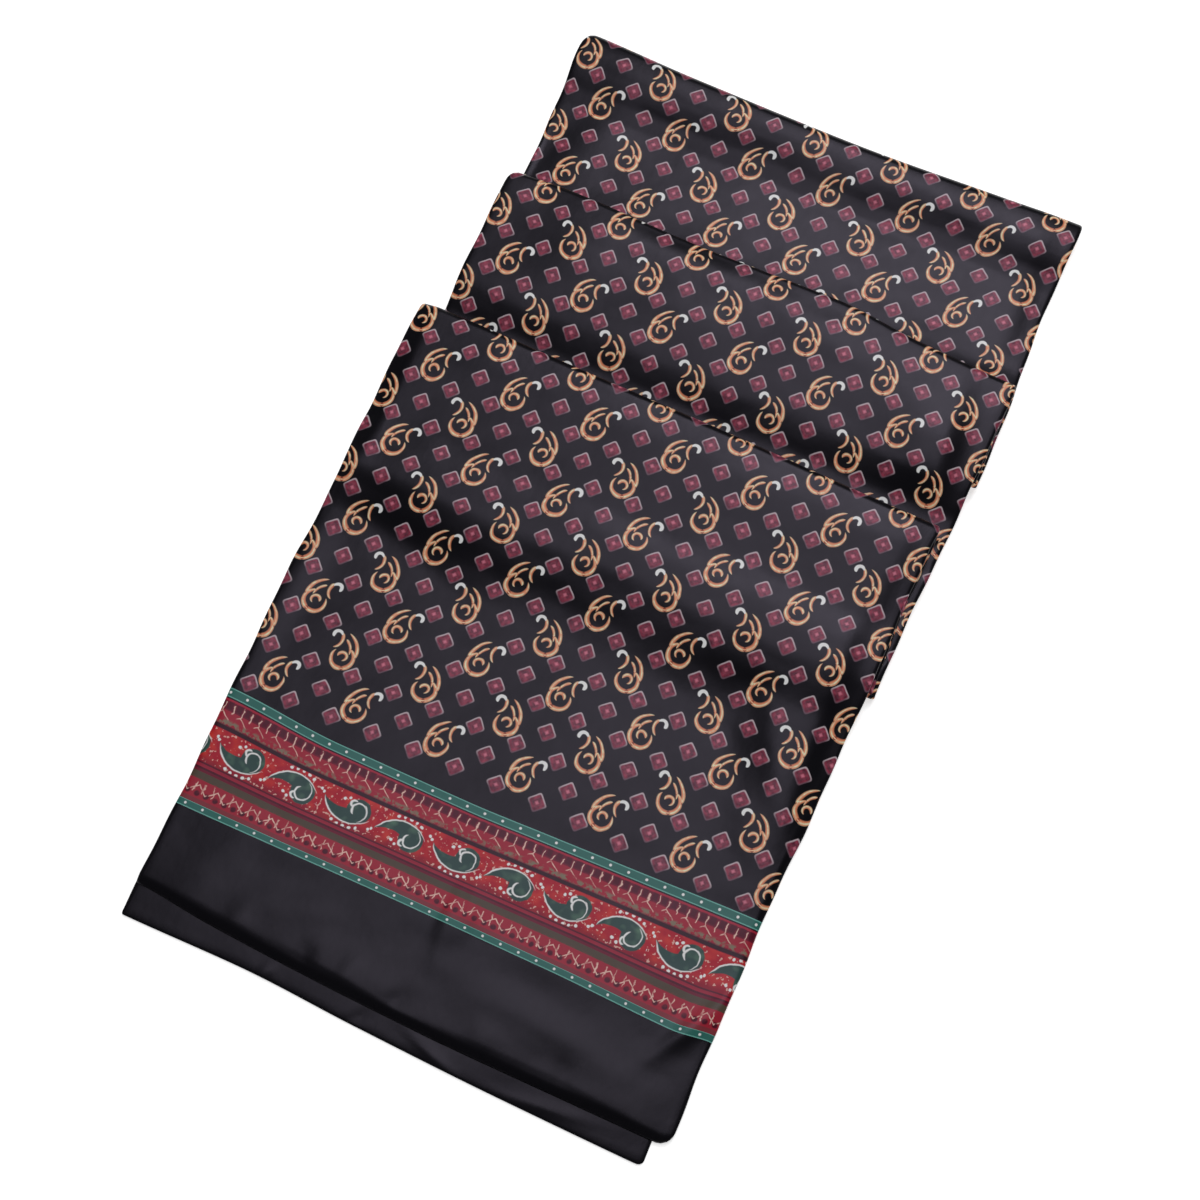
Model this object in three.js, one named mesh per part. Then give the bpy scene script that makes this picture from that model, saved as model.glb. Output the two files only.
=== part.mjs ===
// A long silk satin scarf, doubled over to half its width, folded in pleats and lying flat.
// The plain end of the upper half lies at the front, on the plain end of the lower half.
// Lengths are millimetres. +X runs across the scarf, +Y along it from the plain end to the top
// fold, and +Z up. The origin is on the table, under the middle of the outline.

import * as THREE from "three";

// Whole outline, and the thickness of the doubled cloth in each stretch.
// "along" is always the distance from the front edge of the lower plain end.
const FOLDED_LENGTH = 559;
const FRONT_FOLD_AT = 362;
const MIDDLE_FOLD_AT = 456;
const UNDER_THICK = 2.0;
const FRONT_THICK = 2.0;
const MIDDLE_THICK = 1.8;
const BACK_THICK = 1.8;
const GAP = 0.3;
// Space that one cloth keeps over another where both slope.
const SLOPE_GAP = 0.45;

// Where the stretches end out of sight, along the scarf.
const MIDDLE_START = 259;
const FRONT_RETURN_END = 280;
const BACK_START = 388;
const MIDDLE_RETURN_END = 398;
const BACK_RETURN_END = 531;
const UNDER_END = 250;
const HIDDEN_START = UNDER_END + GAP;
const HIDDEN_END = BACK_RETURN_END - GAP;

// Top of the lower half's own pleats, which the upper pleats lie on.
const HIDDEN_TOP = [
  { along: HIDDEN_START, height: UNDER_THICK },
  { along: 258, height: 2.2 },
  { along: 274, height: 6.6 },
  { along: 310, height: 6.9 },
  { along: 354, height: 6.6 },
  { along: 368, height: 4.9 },
  { along: 384, height: 4.9 },
  { along: 400, height: 6.8 },
  { along: 438, height: 6.5 },
  { along: 462, height: 3.2 },
  { along: 480, height: UNDER_THICK },
  { along: HIDDEN_END, height: UNDER_THICK },
];
const HIDDEN_CREST = Math.max(...HIDDEN_TOP.map((row) => row.height));

// Middle of each cloth where it lies on the one below, and of the cloth turned back at a fold.
const UNDER_MID = UNDER_THICK / 2;
const LYING_FRONT = UNDER_THICK + GAP + FRONT_THICK / 2;
const LYING_BACK = UNDER_THICK + SLOPE_GAP + BACK_THICK / 2;
const FRONT_RETURN = HIDDEN_CREST + 2 * SLOPE_GAP + MIDDLE_THICK + FRONT_THICK / 2;
const MIDDLE_RETURN = HIDDEN_CREST + 2 * SLOPE_GAP + BACK_THICK + MIDDLE_THICK / 2;
const BACK_RETURN = BACK_THICK / 2;

// Soft long edges: how far in from the edge a ring lies, and how much of the thickness it has.
const EDGE_ROUNDING = [
  { inset: 0, share: 0.3 },
  { inset: 0.9, share: 0.75 },
  { inset: 2.6, share: 1 },
  { inset: 9, share: 1 },
];
const NOMINAL_WIDTH = 300;
const INNER_COLUMNS = 12;
const END_TAPER = 2.4;
const END_SHARE = 0.35;
const FOLD_STEPS = 6;

// Long edges and fold lines, read across the table. Rows run along the scarf or across it.
const FRONT_SIDES = [
  { along: 0, left: -151, right: 145 },
  { along: 70, left: -152, right: 144 },
  { along: 135, left: -154, right: 144 },
  { along: 200, left: -156, right: 146 },
  { along: 265, left: -154.5, right: 147 },
  { along: 342, left: -156.5, right: 147.5 },
  { along: 364, left: -155.5, right: 149 },
];
const MIDDLE_SIDES = [
  { along: 259, left: -145, right: 151 },
  { along: 321, left: -144.5, right: 152.5 },
  { along: 385, left: -145, right: 155 },
  { along: 458, left: -146, right: 156 },
];
const BACK_SIDES = [
  { along: 388, left: -140.5, right: 158 },
  { along: 464, left: -141, right: 156.5 },
  { along: 512, left: -144, right: 155 },
  { along: 560, left: -145, right: 156 },
];
const UNDER_SIDES = [
  { along: 0, left: -151.5, right: 136 },
  { along: 560, left: -138.5, right: 152 },
];
const HIDDEN_SIDES = [
  { along: 250, left: -145.5, right: 143 },
  { along: 310, left: -142, right: 148 },
  { along: 400, left: -142, right: 152 },
  { along: 531, left: -139.5, right: 152 },
];
const UNDER_FRONT = [
  { across: -152, along: 4 },
  { across: -84, along: 5 },
  { across: -20, along: 2.5 },
  { across: 60, along: 0.5 },
  { across: 136, along: 0 },
];
const FRONT_FRONT = [
  { across: -151, along: 21 },
  { across: -109, along: 17.5 },
  { across: -38, along: 14 },
  { across: 32, along: 12.5 },
  { across: 145, along: 13 },
];
const FRONT_FOLD = [
  { across: -155, along: 364.5 },
  { across: -60, along: 363 },
  { across: 20, along: 362 },
  { across: 149, along: 359 },
];
const MIDDLE_FOLD = [
  { across: -146, along: 457 },
  { across: -110, along: 458.5 },
  { across: -30, along: 457 },
  { across: 50, along: 458 },
  { across: 100, along: 453 },
  { across: 156, along: 450.5 },
];
const BACK_FOLD = [
  { across: -145, along: 558.3 },
  { across: -80, along: 555.8 },
  { across: 20, along: 554.3 },
  { across: 110, along: 557.3 },
  { across: 156, along: 559 },
];

// Height of the middle of each upper cloth along the scarf.
const FRONT_HEIGHTS = [
  { along: 0, height: LYING_FRONT },
  { along: 226, height: LYING_FRONT + 0.1 },
  { along: 255, height: 7.9 },
  { along: 281, height: 14.8 },
  { along: 318, height: 14.3 },
  { along: 348, height: 17.4 },
  { along: 362, height: 16.7 },
];
const MIDDLE_SHOWS_FROM = 368;
const MIDDLE_HEIGHTS = [
  { along: 368, height: 6.25 },
  { along: 376, height: 6.8 },
  { along: 387, height: 9.9 },
  { along: 400, height: 14.0 },
  { along: 424, height: 14.2 },
  { along: 443, height: 16.2 },
  { along: 456, height: 15.5 },
];
const BACK_RISES_FROM = 500;
const BACK_HEIGHTS = [
  { along: 500, height: LYING_BACK },
  { along: 528, height: LYING_BACK + 0.2 },
  { along: 549, height: 8.1 },
  { along: 558, height: 7.6 },
];

// The front step reaches past the cloth below it on the left, and droops there.
const DROOP = { edge: -145, width: 12, depth: 3, begin: 262, whole: 284 };

// Largest soft folds: the middle of each ridge, its turn from +X in degrees, its half length and
// half width, and how far it lifts the cloth. They only lift, so nothing below is touched.
const FRONT_RIDGES = [
  { across: 120, along: 212, turn: -58, length: 46, width: 11, lift: 2.6 },
  { across: -98, along: 262, turn: -12, length: 52, width: 17, lift: 1.5 },
  { across: 70, along: 250, turn: 10, length: 60, width: 15, lift: 1.1 },
  { across: 10, along: 150, turn: 82, length: 90, width: 34, lift: 0.9 },
  { across: 60, along: 44, turn: 3, length: 110, width: 15, lift: 0.9 },
  { across: -120, along: 46, turn: 75, length: 34, width: 14, lift: 0.8 },
  { across: 2, along: 62, turn: 96, length: 18, width: 5, lift: 0.7 },
  { across: 136, along: 76, turn: 62, length: 26, width: 6, lift: 1.2 },
  { across: -150, along: 215, turn: 88, length: 70, width: 9, lift: 1.2 },
];
const MIDDLE_RIDGES = [
  { across: -88, along: 432, turn: 70, length: 26, width: 24, lift: 1.1 },
  { across: 44, along: 434, turn: -8, length: 52, width: 13, lift: 1.2 },
  { across: 128, along: 420, turn: 72, length: 30, width: 10, lift: 1.3 },
  { across: -28, along: 410, turn: 20, length: 40, width: 9, lift: 0.8 },
];
const MIDDLE_RIDGES_FROM = { begin: 368, whole: 386 };
const BACK_RIDGES = [
  { across: 60, along: 506, turn: 4, length: 74, width: 16, lift: 1.2 },
  { across: -112, along: 504, turn: 66, length: 24, width: 15, lift: 1.1 },
  { across: 142, along: 500, turn: 84, length: 40, width: 8, lift: 0.9 },
];
const BACK_RIDGES_FROM = { begin: 462, whole: 476 };
const UNDER_RIDGES = [
  { across: -72, along: 8, turn: 60, length: 7, width: 3, lift: 0.7 },
  { across: 18, along: 7, turn: -20, length: 16, width: 3, lift: 0.5 },
];
const UNDER_RIDGES_TO = { whole: 8, end: 11 };

// The pleated lower half at its edges: how far in each of its layers ends, from the table up.
const HIDDEN_LAYERS = [
  { inset: 0 },
  { inset: 2.4 },
  { inset: 0.9 },
];
// One layer's rounded edge, as shares of its height.
const LAYER_EDGE = [
  { inset: 0.4, share: 0.2 },
  { inset: 0, share: 0.5 },
  { inset: 0.4, share: 0.8 },
];
const GROOVE_INSET = 1.6;
const HIDDEN_SPACING = 9;

const CLOTH = {
  plain: { color: 0x1b1b21, roughness: 0.38, metalness: 0 },
  printed: { color: 0x24202a, roughness: 0.4, metalness: 0 },
  hidden: { color: 0x1e1c22, roughness: 0.42, metalness: 0 },
};

const group = new THREE.Group();

// A value of the table's column at one place. The curve runs smoothly through the rows and never
// past them.
function read(rows, key, at, column) {
  const next = rows.findIndex((row) => row[key] >= at);
  if (next === -1) return rows[rows.length - 1][column];
  if (next === 0) return rows[0][column];
  const slope = (i) => (rows[i + 1][column] - rows[i][column]) / (rows[i + 1][key] - rows[i][key]);
  const tangent = (i) => {
    if (i === 0 || i === rows.length - 1) return 0;
    const before = slope(i - 1);
    const after = slope(i);
    return before * after <= 0 ? 0 : (2 * before * after) / (before + after);
  };
  const low = rows[next - 1];
  const high = rows[next];
  const span = high[key] - low[key];
  const t = (at - low[key]) / span;
  const rise = t * t * (3 - 2 * t);
  return low[column] * (1 - rise) + high[column] * rise
    + span * (tangent(next - 1) * t * (1 - t) ** 2 - tangent(next) * t * t * (1 - t));
}

function smooth(part) {
  return THREE.MathUtils.smoothstep(part, 0, 1);
}

// How far the ridges lift one point of the cloth.
function liftOf(ridges, across, along) {
  let lift = 0;
  for (const ridge of ridges) {
    const turn = THREE.MathUtils.degToRad(ridge.turn);
    const dx = across - ridge.across;
    const dy = along - ridge.along;
    const run = (dx * Math.cos(turn) + dy * Math.sin(turn)) / ridge.length;
    const side = (dy * Math.cos(turn) - dx * Math.sin(turn)) / ridge.width;
    lift += ridge.lift * Math.exp(-run * run - side * side);
  }
  return lift;
}

// Columns across the cloth, closer together at its two soft edges.
function columns() {
  const last = EDGE_ROUNDING.length - 1;
  const edge = EDGE_ROUNDING.map((row) => ({ ...row, place: row.inset / NOMINAL_WIDTH }));
  const from = edge[last].place;
  const inner = [];
  for (let i = 1; i < INNER_COLUMNS; i += 1) {
    const place = from + ((1 - 2 * from) * i) / INNER_COLUMNS;
    inner.push({ place, share: 1, inset: NOMINAL_WIDTH / 2 });
  }
  const far = edge.map((row) => ({ ...row, place: 1 - row.place })).reverse();
  return [...edge, ...inner, ...far];
}

// How far a rounded corner pulls an end in, at a distance from the long edge.
function cornerPull(inset, radius) {
  if (radius === 0 || inset >= radius) return 0;
  return radius - Math.sqrt(radius * radius - (radius - inset) ** 2);
}

// Points of one column: along the upper cloth, and round the fold and back where it has one.
function columnPath(stretch, column) {
  const xAt = (along) => {
    const left = read(stretch.sides, "along", along, "left");
    return left + column.place * (read(stretch.sides, "along", along, "right") - left);
  };
  const side = column.place > 0.5 ? "right" : "left";
  const begin = stretch.begin(xAt(stretch.from)) + cornerPull(column.inset, stretch.beginCorner[side]);
  const outer = stretch.end(xAt(stretch.to)) - cornerPull(column.inset, stretch.endCorner[side]);
  const heightAt = (along) => stretch.height(xAt(along), along);
  const crest = heightAt(outer);
  const backHeight = stretch.fold ? stretch.fold.height(xAt(outer)) : crest;
  const radius = (crest - backHeight) / 2;
  const turnAt = stretch.fold ? outer - stretch.thick / 2 - radius : outer;

  const stations = [begin, begin + END_TAPER];
  for (let i = 1; i < stretch.steps; i += 1) {
    stations.push(begin + ((turnAt - begin) * i) / stretch.steps);
  }
  if (!stretch.fold) stations.push(outer - END_TAPER);
  stations.push(turnAt);
  const points = stations.map((along) => ({ along, height: heightAt(along), share: 1 }));
  points[0].share = END_SHARE;
  if (stretch.fold) {
    points[points.length - 1].height = crest;
    points.push(...foldAndReturn(turnAt, crest, backHeight, stretch.fold));
  }
  points[points.length - 1].share = END_SHARE;
  return points.map((point) => ({
    ...point,
    x: xAt(point.along),
    share: point.share * column.share,
  }));
}

// The half circle at a fold, and the cloth that runs back under it.
function foldAndReturn(turnAt, crest, backHeight, fold) {
  const points = [];
  const radius = (crest - backHeight) / 2;
  for (let i = 1; i <= FOLD_STEPS; i += 1) {
    const angle = Math.PI / 2 - (Math.PI * i) / FOLD_STEPS;
    const along = turnAt + radius * Math.cos(angle);
    points.push({ along, height: crest - radius + radius * Math.sin(angle), share: 1 });
  }
  for (let i = 1; i < fold.steps; i += 1) {
    const along = turnAt + ((fold.to - turnAt) * i) / fold.steps;
    points.push({ along, height: backHeight, share: 1 });
  }
  points.push({ along: fold.to + END_TAPER, height: backHeight, share: 1 });
  points.push({ along: fold.to, height: backHeight, share: 1 });
  return points;
}

// Both faces of one column: half the thickness to each side of its path.
function columnFaces(points, thick) {
  return points.map((point, i) => {
    const before = points[Math.max(i - 1, 0)];
    const after = points[Math.min(i + 1, points.length - 1)];
    const run = after.along - before.along;
    const rise = after.height - before.height;
    const length = Math.hypot(run, rise);
    const half = (thick * point.share) / 2;
    const dy = (-rise / length) * half;
    const dz = (run / length) * half;
    const y = point.along - FOLDED_LENGTH / 2;
    return {
      outer: [point.x, y + dy, point.height + dz],
      inner: [point.x, y - dy, point.height - dz],
    };
  });
}

function addSolid(name, positions, triangles, cloth) {
  const geometry = new THREE.BufferGeometry();
  geometry.setAttribute("position", new THREE.Float32BufferAttribute(positions.flat(), 3));
  geometry.setIndex(triangles.flat());
  geometry.computeVertexNormals();
  const mesh = new THREE.Mesh(geometry, new THREE.MeshStandardMaterial(cloth));
  mesh.name = name;
  group.add(mesh);
}

// One stretch of cloth as a closed wall, from the paths of all its columns.
function addStretch(name, stretch, cloth) {
  const faces = columns().map((column) => {
    return columnFaces(columnPath(stretch, column), stretch.thick);
  });
  const count = faces[0].length;
  const positions = faces.flatMap((column) => column.flatMap((face) => [face.outer, face.inner]));
  const outer = (column, point) => 2 * (column * count + point);
  const inner = (column, point) => outer(column, point) + 1;
  const triangles = [];
  const quad = (a, b, c, d) => triangles.push([a, b, c], [a, c, d]);

  for (let c = 0; c < faces.length - 1; c += 1) {
    for (let p = 0; p < count - 1; p += 1) {
      quad(outer(c, p), outer(c + 1, p), outer(c + 1, p + 1), outer(c, p + 1));
      quad(inner(c, p), inner(c, p + 1), inner(c + 1, p + 1), inner(c + 1, p));
    }
    const last = count - 1;
    quad(inner(c, 0), inner(c + 1, 0), outer(c + 1, 0), outer(c, 0));
    quad(outer(c, last), outer(c + 1, last), inner(c + 1, last), inner(c, last));
  }
  const end = faces.length - 1;
  for (let p = 0; p < count - 1; p += 1) {
    quad(outer(0, p), outer(0, p + 1), inner(0, p + 1), inner(0, p));
    quad(inner(end, p), inner(end, p + 1), outer(end, p + 1), outer(end, p));
  }
  addSolid(name, positions, triangles, cloth);
}

// How far the front step's left edge sinks beside the pleats.
function droopOf(x, along) {
  const over = smooth((DROOP.edge - x) / DROOP.width);
  return DROOP.depth * over * smooth((along - DROOP.begin) / (DROOP.whole - DROOP.begin));
}

// Upper end of the scarf, with its fold and the cloth turned back under it.
function frontStretch() {
  addStretch("front_stretch", {
    thick: FRONT_THICK,
    sides: FRONT_SIDES,
    from: 0,
    to: FRONT_FOLD_AT,
    begin: (x) => read(FRONT_FRONT, "across", x, "along"),
    end: (x) => read(FRONT_FOLD, "across", x, "along"),
    beginCorner: { left: 1.5, right: 8 },
    endCorner: { left: 1, right: 2 },
    height: (x, along) => read(FRONT_HEIGHTS, "along", along, "height")
      + liftOf(FRONT_RIDGES, x, along) - droopOf(x, along),
    steps: 34,
    fold: {
      height: (x) => FRONT_RETURN - droopOf(x, FRONT_FOLD_AT),
      to: FRONT_RETURN_END,
      steps: 5,
    },
  }, CLOTH.printed);
}

// The middle step lies on the lower half's pleats until it comes out from under the front one.
function middleHeight(along) {
  if (along > MIDDLE_SHOWS_FROM) return read(MIDDLE_HEIGHTS, "along", along, "height");
  return read(HIDDEN_TOP, "along", along, "height") + SLOPE_GAP + MIDDLE_THICK / 2;
}

function backHeight(along) {
  if (along > BACK_RISES_FROM) return read(BACK_HEIGHTS, "along", along, "height");
  return read(HIDDEN_TOP, "along", along, "height") + SLOPE_GAP + BACK_THICK / 2;
}

// Second step: it runs on under the front one, and peeks out past its right edge.
function middleStretch() {
  const window = (along) => {
    const { begin, whole } = MIDDLE_RIDGES_FROM;
    return smooth((along - begin) / (whole - begin));
  };
  addStretch("middle_stretch", {
    thick: MIDDLE_THICK,
    sides: MIDDLE_SIDES,
    from: MIDDLE_START,
    to: MIDDLE_FOLD_AT,
    begin: () => MIDDLE_START,
    end: (x) => read(MIDDLE_FOLD, "across", x, "along"),
    beginCorner: { left: 1.5, right: 1.5 },
    endCorner: { left: 6, right: 1.5 },
    height: (x, along) => middleHeight(along) + window(along) * liftOf(MIDDLE_RIDGES, x, along),
    steps: 26,
    fold: { height: () => MIDDLE_RETURN, to: MIDDLE_RETURN_END, steps: 4 },
  }, CLOTH.printed);
}

// Third step, up to the top fold, where the scarf turns down to the table and back.
function backStretch() {
  const window = (along) => {
    const { begin, whole } = BACK_RIDGES_FROM;
    return smooth((along - begin) / (whole - begin));
  };
  addStretch("back_stretch", {
    thick: BACK_THICK,
    sides: BACK_SIDES,
    from: BACK_START,
    to: FOLDED_LENGTH,
    begin: () => BACK_START,
    end: (x) => read(BACK_FOLD, "across", x, "along"),
    beginCorner: { left: 1.5, right: 1.5 },
    endCorner: { left: 6, right: 1 },
    height: (x, along) => backHeight(along) + window(along) * liftOf(BACK_RIDGES, x, along),
    steps: 22,
    fold: { height: () => BACK_RETURN, to: BACK_RETURN_END, steps: 2 },
  }, CLOTH.printed);
}

// Lower half of the scarf, from its plain end to where the pleats begin.
function underStretch() {
  const window = (along) => {
    const { whole, end } = UNDER_RIDGES_TO;
    return 1 - smooth((along - whole) / (end - whole));
  };
  addStretch("under_stretch", {
    thick: UNDER_THICK,
    sides: UNDER_SIDES,
    from: 0,
    to: UNDER_END,
    begin: (x) => read(UNDER_FRONT, "across", x, "along"),
    end: () => UNDER_END,
    beginCorner: { left: 1.5, right: 3 },
    endCorner: { left: 0, right: 0 },
    height: (x, along) => UNDER_MID + window(along) * liftOf(UNDER_RIDGES, x, along),
    steps: 22,
  }, CLOTH.plain);
}

// One long edge of the hidden layers: rounded layers with a groove between each two.
function layeredEdge(top) {
  const count = HIDDEN_LAYERS.length;
  const each = top / count;
  const rows = [{ inset: GROOVE_INSET, height: 0 }];
  HIDDEN_LAYERS.forEach((layer, i) => {
    for (const row of LAYER_EDGE) {
      rows.push({ inset: layer.inset + row.inset, height: (i + row.share) * each });
    }
    const next = HIDDEN_LAYERS[i + 1] ?? layer;
    rows.push({ inset: Math.max(layer.inset, next.inset) + GROOVE_INSET, height: (i + 1) * each });
  });
  return rows;
}

// The rest of the lower half, out of sight: its own pleats as one rounded solid.
function hiddenLayers() {
  const positions = [];
  const triangles = [];
  const sections = Math.ceil((HIDDEN_END - HIDDEN_START) / HIDDEN_SPACING);
  const rows = layeredEdge(UNDER_THICK).length;
  const ring = 2 * rows;
  for (let i = 0; i <= sections; i += 1) {
    const along = HIDDEN_START + ((HIDDEN_END - HIDDEN_START) * i) / sections;
    const left = read(HIDDEN_SIDES, "along", along, "left");
    const right = read(HIDDEN_SIDES, "along", along, "right");
    const edge = layeredEdge(read(HIDDEN_TOP, "along", along, "height"));
    const y = along - FOLDED_LENGTH / 2;
    for (const row of edge) positions.push([right - row.inset, y, row.height]);
    for (const row of edge.reverse()) positions.push([left + row.inset, y, row.height]);
  }
  for (let i = 0; i < sections; i += 1) {
    for (let p = 0; p < ring; p += 1) {
      const q = (p + 1) % ring;
      const near = i * ring;
      const far = near + ring;
      triangles.push([near + p, far + q, near + q], [near + p, far + p, far + q]);
    }
  }
  const last = sections * ring;
  for (let p = 0; p < rows - 1; p += 1) {
    const other = ring - 1 - p;
    triangles.push([p, p + 1, other - 1], [p, other - 1, other]);
    triangles.push([last + p, last + other - 1, last + p + 1]);
    triangles.push([last + p, last + other, last + other - 1]);
  }
  addSolid("hidden_layers", positions, triangles, CLOTH.hidden);
}

underStretch();
hiddenLayers();
backStretch();
middleStretch();
frontStretch();

export default group;
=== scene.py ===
# A long silk satin scarf, doubled over, folded in pleats and lying flat on a pale table.
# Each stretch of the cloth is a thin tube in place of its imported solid, with creases and print.
# Lengths are millimetres unless a name says metres. "along" is measured up the folded scarf from
# the front edge of the lower plain end, and "across" from the middle of the outline.
import math

import bpy
import numpy as np
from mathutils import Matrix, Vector


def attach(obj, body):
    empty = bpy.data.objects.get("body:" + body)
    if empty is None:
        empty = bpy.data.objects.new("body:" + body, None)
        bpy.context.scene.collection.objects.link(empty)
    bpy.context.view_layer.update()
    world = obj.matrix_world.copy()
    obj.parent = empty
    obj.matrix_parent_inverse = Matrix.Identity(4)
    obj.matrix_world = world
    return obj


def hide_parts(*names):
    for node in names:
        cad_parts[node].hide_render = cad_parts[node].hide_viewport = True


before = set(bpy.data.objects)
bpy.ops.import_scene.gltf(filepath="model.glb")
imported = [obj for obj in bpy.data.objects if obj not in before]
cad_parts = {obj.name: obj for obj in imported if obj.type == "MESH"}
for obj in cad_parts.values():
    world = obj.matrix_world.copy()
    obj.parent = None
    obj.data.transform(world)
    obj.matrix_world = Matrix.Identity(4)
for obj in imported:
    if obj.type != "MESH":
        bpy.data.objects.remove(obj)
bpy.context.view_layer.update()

MM = 0.001
FOLDED_LENGTH = 559


def table(columns, *rows):
    """A table's rows, with the names of its columns given once. A row may leave the last out."""
    return [dict(zip(columns.split(), row)) for row in rows]


# The camera stands where the photograph was taken from, and looks at one point of the table.
CAMERA = {"turn": 24.3, "tilt": 17, "distance": 1035, "lens": 59, "film": 36}
AIM = {"across": 0, "up_table": -26.5}

# The tube: half its thickness with the air in it, for the upper half and the lower one, then the
# thickness of one silk, and its flat width.
HALF_THICK = 0.9
LOWER_HALF_THICK = 0.7
SILK = 0.22
# Ring of the tube: columns closer together on top than underneath, and round long edges that
# are slightly uneven, in two waves.
TOP_COLUMNS = 120
UNDER_COLUMNS = 60
EDGE_TURNS = (60, 30, 0, -30, -60)
EDGE_ROUND = 2.2
EDGE_WAVES = [dict(size=0.28, length=13.7, shift=1), dict(size=0.22, length=5.9, shift=2.3)]

# Each short end is turned in and sewn shut: how soon the tube has its full thickness from there,
# and the share of it right at the end.
FRONT_TAPER = 4
LOWER_TAPER = 5
THINNEST_END = 0.3
# The upper plain end is rolled down to the cloth under it, and the front's left edge hangs a
# little past what it lies on.
FRONT_ROLL = {"drop": 1.2, "width": 5}
DROOP = {"edge": -145, "width": 12, "depth": 3, "begin": 262, "grows": 22, "grows_under": 30}
# Cloth that is turned under at a fold keeps to the place of the next step.
FRONT_RETURN_SIDES = table(
    "along left right",
    (262, -148, 149), (300, -153, 148), (364, -155.5, 149),
)
MIDDLE_RETURN_SIDES = table("along left right", (391, -142, 156.5), (458, -146, 156))
# Where the cloth turned under at a fold ends: in a hidden turn to the next step, or for the top
# fold where the lower half begins.
FRONT_PLEAT = 262
MIDDLE_PLEAT = 391
BACK_END = 531

# Long edges, ends and fold lines of the stretches, nearly all as the solids have them.
FRONT_SIDES = table(
    "along left right",
    (0, -151, 145), (70, -152, 144), (135, -154, 144), (200, -156, 146), (265, -154.5, 147),
    (342, -156.5, 147.5), (364, -155.5, 149),
)
MIDDLE_SIDES = table(
    "along left right",
    (259, -145, 151), (321, -144.5, 152.5), (385, -145, 155), (458, -146, 156),
)
BACK_SIDES = table(
    "along left right",
    (388, -140.5, 158), (464, -141, 156.5), (512, -144, 155), (560, -145, 156),
)
LOWER_SIDES = table(
    "along left right",
    (0, -151.5, 136), (250, -145.5, 143), (310, -142, 148), (400, -142, 151), (500, -141, 152),
    (531, -143, 154),
)
FRONT_FRONT = table("across along", (-151, 21), (-109, 17.5), (-38, 14), (32, 12.5), (145, 13))
FRONT_FOLD = table("across along", (-155, 364.5), (-60, 363), (20, 362), (149, 359))
MIDDLE_FOLD = table(
    "across along",
    (-146, 457), (-110, 458.5), (-30, 457), (50, 458), (100, 453), (156, 450.5),
)
BACK_FOLD = table(
    "across along",
    (-145, 558.3), (-80, 555.8), (20, 554.3), (110, 557.3), (156, 559),
)
LOWER_FRONT = table("across along", (-152, 4), (-84, 5), (-20, 2.5), (60, 0.5), (136, 0))

# Heights of the middle of each cloth above the table, in the order that the cloth runs.
FRONT_HEIGHTS = table(
    "along height",
    (0, 3.3), (206, 3.4), (222, 4.0), (238, 6.2), (254, 10.5), (269, 14.0), (281, 14.7),
    (298, 13.7), (312, 14.6), (328, 16.4), (343, 17.5), (362, 17.1),
)
FRONT_RETURN = table("along height", (262, 6.9), (268, 8.7), (274, 10.0), (284, 10.6))
MIDDLE_HEIGHTS = table(
    "along height",
    (262, 4.75), (268, 6.6), (274, 7.95), (310, 8.25), (348, 7.5), (360, 5.2), (367, 6.2),
    (376, 9.4), (386, 12.6), (395, 14.2), (408, 15.3), (420, 15.9), (432, 16.3), (443, 16.5),
    (456, 16.0),
)
MIDDLE_RETURN = table("along height", (391, 9.0), (400, 10.5))
BACK_HEIGHTS = table(
    "along height",
    (391, 7.1), (400, 8.1), (438, 7.85), (462, 4.4), (480, 3.2), (512, 2.7), (522, 4.6),
    (530, 7.7), (538, 10.1), (545, 10.6), (551, 10.4), (558, 9.2),
)
# The lower half runs three times, and each run starts folded back under the one before. These
# are the levels of the cloth that goes back, of a run's start, and under the top fold.
LOWER_BETWEEN = 3.1
LOWER_BASE = 0.72
BACK_UNDER_LEVEL = 0.95
LOWER_FIRST = table(
    "along height",
    (0, 1.0), (246, 1.0), (258, 1.5), (274, 5.9), (310, 6.1), (352, 5.7),
)
LOWER_SECOND = table(
    "along height",
    (272, LOWER_BASE), (345, LOWER_BASE), (370, 4.1), (384, 4.2), (400, 5.8), (436, 5.6),
)
LOWER_THIRD = table("along height", (396, LOWER_BASE), (480, 0.75), (BACK_END, BACK_UNDER_LEVEL))
LOWER_BORDER = {"low": 57, "high": 121}
LOWER_PLEATS = [
    dict(fold=352, back=272, stop=436, heights=LOWER_SECOND),
    dict(fold=436, back=396, stop=BACK_END, heights=LOWER_THIRD),
]

# How the cloth is meshed, as rows over each run of it.
FRONT_END_RUN = 10
STEP_RUN_IN = 1.5
FRONT_MESH = {"end": 11, "plain": 18, "border": 28, "ground": 92, "under": 20}
LOWER_END = {"run": 6, "rows": 8}
LOWER_MESH = [
    dict(stop=22, rows=8),
    dict(stop=LOWER_BORDER["low"], rows=5),
    dict(stop=LOWER_BORDER["high"], rows=8),
    dict(stop=LOWER_PLEATS[0]["fold"], rows=34),
]
PLEAT_MESH = {"turn": 8, "back": 8, "on": 26}
# Rows that have small creases. They stop just short of the fold, and on the lower half where it
# goes out of sight.
FRONT_CREASED_ROWS = 145
LOWER_CREASED_ROWS = 18
# Rounded corners, left and right.
FRONT_CORNERS = {"end": (1.5, 8), "fold": (1, 2)}
LOWER_CORNERS = (1.5, 3)

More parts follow.
